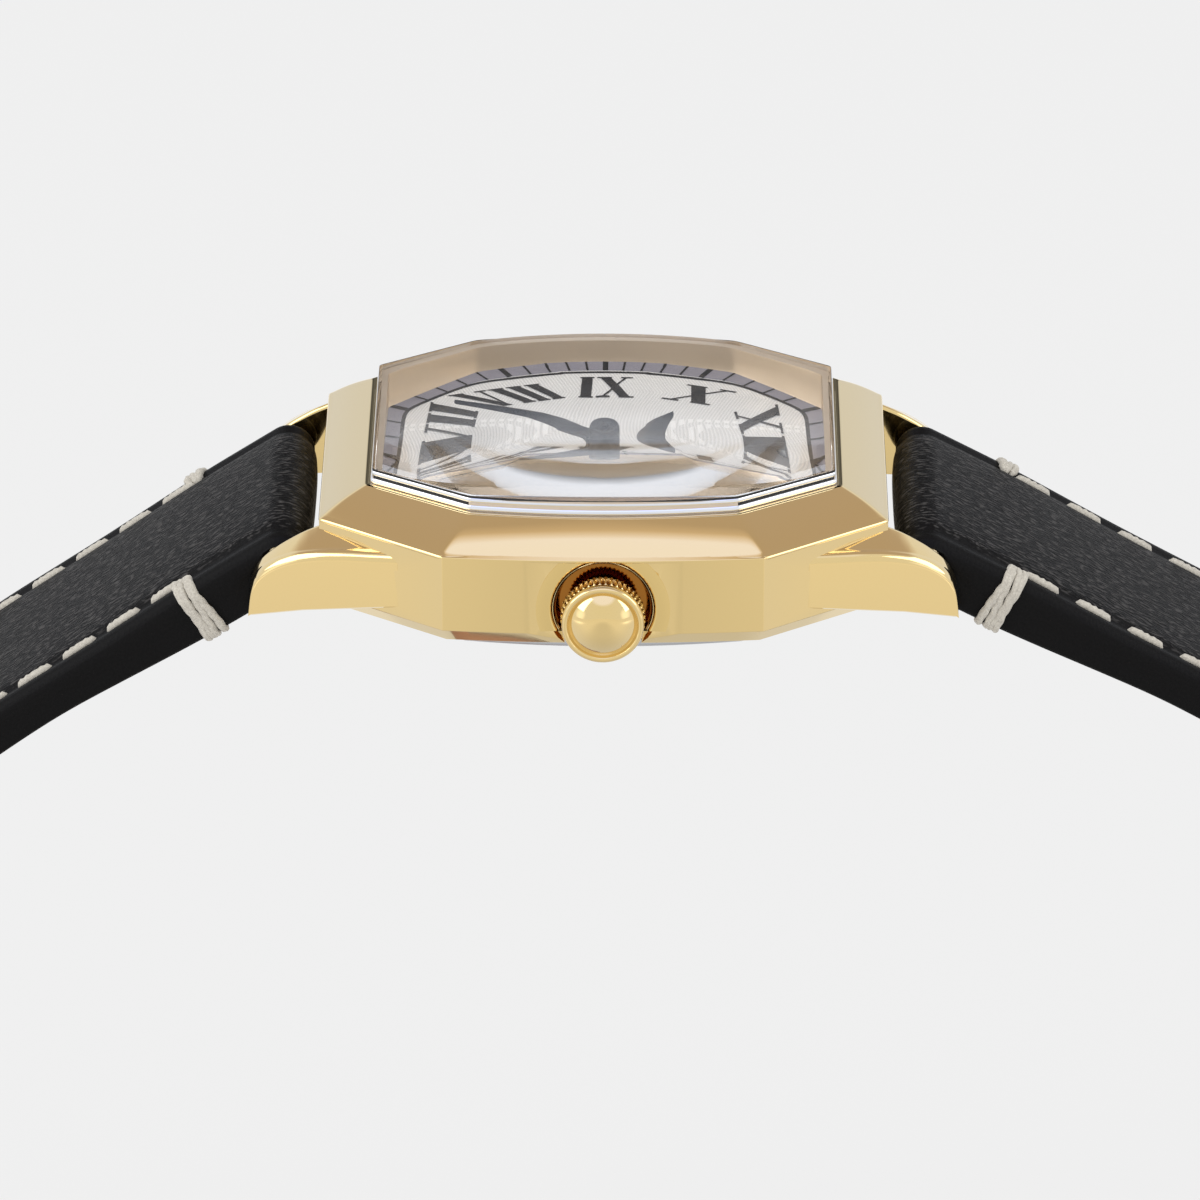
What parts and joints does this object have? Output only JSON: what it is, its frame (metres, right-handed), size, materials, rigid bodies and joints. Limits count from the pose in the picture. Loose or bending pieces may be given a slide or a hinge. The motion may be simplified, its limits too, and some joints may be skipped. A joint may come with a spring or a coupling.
{
  "type": "wristwatch",
  "caption": "Small tonneau-cased quartz wristwatch with two turning hands, a pull-out crown, and a leather strap with a pin buckle and keeper loops.",
  "frame": {"origin": "middle of the case back's outer face, on the axis of the hands", "axes": "+Z out of the dial, +X towards 12 o'clock, -Y towards 3 o'clock and the crown"},
  "size_m": [0.0874, 0.027, 0.0642],
  "materials": {
    "gold_case": "mirror-polished yellow gold plating",
    "glass": "clear mineral crystal, polished",
    "gasket": "moulded rubber",
    "clear_gasket": "moulded nylon",
    "dial": "silver-white, fine engine-turned chevrons, printed grey minute track",
    "hand_slate": "dark slate lacquer",
    "movement_brass": "gilt, satin",
    "wheel_plastic": "moulded acetal",
    "movement_steel": "satin steel",
    "polished_steel": "polished steel",
    "board": "green laminate with a black resin drop",
    "copper": "enamelled copper wire",
    "holder": "moulded white plastic",
    "steel_back": "fine satin stainless steel",
    "strap_leather": "black leather with a fine elongated pebble grain, cream stitching",
    "strap_lining": "smooth pinkish-brown lining leather",
    "gold_buckle": "polished yellow gold plating"
  },
  "bodies": {
    "case_body": {"case": "gold_case", "crystal": "glass", "crystal_gasket": "clear_gasket", "dial": "dial", "main_plate": "movement_brass", "train_bridge": "movement_steel", "bridge_screws": "polished_steel", "circuit_board": "board", "quartz_can": "polished_steel", "stator": "movement_steel", "coil": "copper", "battery": "movement_steel", "battery_clamp": "movement_steel", "movement_holder": "holder", "crown_tube": "polished_steel", "case_back": "steel_back", "case_back_gasket": "gasket", "spring_bar_12": "polished_steel", "spring_bar_6": "polished_steel"},
    "minute": {"minute_hand": "hand_slate", "cannon_pinion": "movement_brass"},
    "hour": {"hour_hand": "hand_slate", "hour_wheel": "movement_brass"},
    "minute_wheel": {"minute_wheel": "movement_brass"},
    "third_wheel": {"third_wheel": "movement_brass"},
    "intermediate_wheel": {"intermediate_wheel": "wheel_plastic"},
    "rotor": {"rotor": "movement_steel"},
    "clutch": {"clutch_wheel": "movement_steel"},
    "crown": {"crown": "gold_case", "stem": "polished_steel", "crown_gasket": "gasket"},
    "setting_lever": {"setting_lever": "movement_steel"},
    "strap_12": {"strap_12_top": "strap_leather", "strap_12_lining": "strap_lining", "fixed_keeper": "strap_leather"},
    "free_keeper": {"free_keeper": "strap_leather"},
    "buckle": {"buckle_frame": "gold_buckle", "buckle_bar": "polished_steel"},
    "tongue": {"tongue": "gold_buckle"},
    "strap_6": {"strap_6_top": "strap_leather", "strap_6_lining": "strap_lining"}
  },
  "joints": [
    {"name": "minute_spin", "type": "hinge", "parent": "case_body", "child": "minute", "pos_m": [0, 0, 0.0054], "axis": [0, 0, 1], "continuous": true},
    {"name": "hour_spin", "type": "hinge", "parent": "case_body", "child": "hour", "pos_m": [0, 0, 0.005], "axis": [0, 0, 1], "continuous": true},
    {"name": "minute_wheel_spin", "type": "hinge", "parent": "case_body", "child": "minute_wheel", "pos_m": [0, -0.0024, 0.0036], "axis": [0, 0, 1], "continuous": true},
    {"name": "third_wheel_spin", "type": "hinge", "parent": "case_body", "child": "third_wheel", "pos_m": [0.00157, 0.00188, 0.002], "axis": [0, 0, 1], "continuous": true},
    {"name": "intermediate_wheel_spin", "type": "hinge", "parent": "case_body", "child": "intermediate_wheel", "pos_m": [0.00364, 0.00224, 0.0016], "axis": [0, 0, 1], "continuous": true},
    {"name": "rotor_spin", "type": "hinge", "parent": "case_body", "child": "rotor", "pos_m": [0.00436, 0.00138, 0.002], "axis": [0, 0, 1], "continuous": true},
    {"name": "crown_turn", "type": "hinge", "parent": "case_body", "child": "clutch", "pos_m": [0, -0.0045, 0.0026], "axis": [0, -1, 0], "continuous": true},
    {"name": "crown_pull", "type": "slide", "parent": "clutch", "child": "crown", "axis": [0, -1, 0], "range_m": [0, 0.0009]},
    {"name": "lever_swing", "type": "hinge", "parent": "case_body", "child": "setting_lever", "pos_m": [0.00205, -0.00655, 0.0018], "axis": [0, 0, 1], "range_deg": [0, 27.5]},
    {"name": "strap_12_swing", "type": "hinge", "parent": "case_body", "child": "strap_12", "pos_m": [0.0159, 0, 0.00275], "axis": [0, -1, 0], "range_deg": [0, 60]},
    {"name": "strap_6_swing", "type": "hinge", "parent": "case_body", "child": "strap_6", "pos_m": [-0.0159, 0, 0.00275], "axis": [0, 1, 0], "range_deg": [0, 60]},
    {"name": "keeper_slide", "type": "slide", "parent": "strap_12", "child": "free_keeper", "axis": [0, 0, -1], "range_m": [-0.003, 0.003]},
    {"name": "buckle_swing", "type": "hinge", "parent": "strap_12", "child": "buckle", "pos_m": [0.03163, 0, -0.04773], "axis": [0, -1, 0], "range_deg": [-45, 40]},
    {"name": "tongue_swing", "type": "hinge", "parent": "buckle", "child": "tongue", "pos_m": [0.03163, 0, -0.04773], "axis": [0, -1, 0], "range_deg": [0, 70]}
  ],
  "couplings": [
    {"joint": "hour_spin", "follows": "minute_spin", "ratio": 0.083333},
    {"joint": "minute_wheel_spin", "follows": "minute_spin", "ratio": -0.33333},
    {"joint": "third_wheel_spin", "follows": "minute_spin", "ratio": -6},
    {"joint": "intermediate_wheel_spin", "follows": "minute_spin", "ratio": 30},
    {"joint": "rotor_spin", "follows": "minute_spin", "ratio": -90},
    {"joint": "lever_swing", "follows": "crown_pull", "rad_per_m": 531.4}
  ]
}
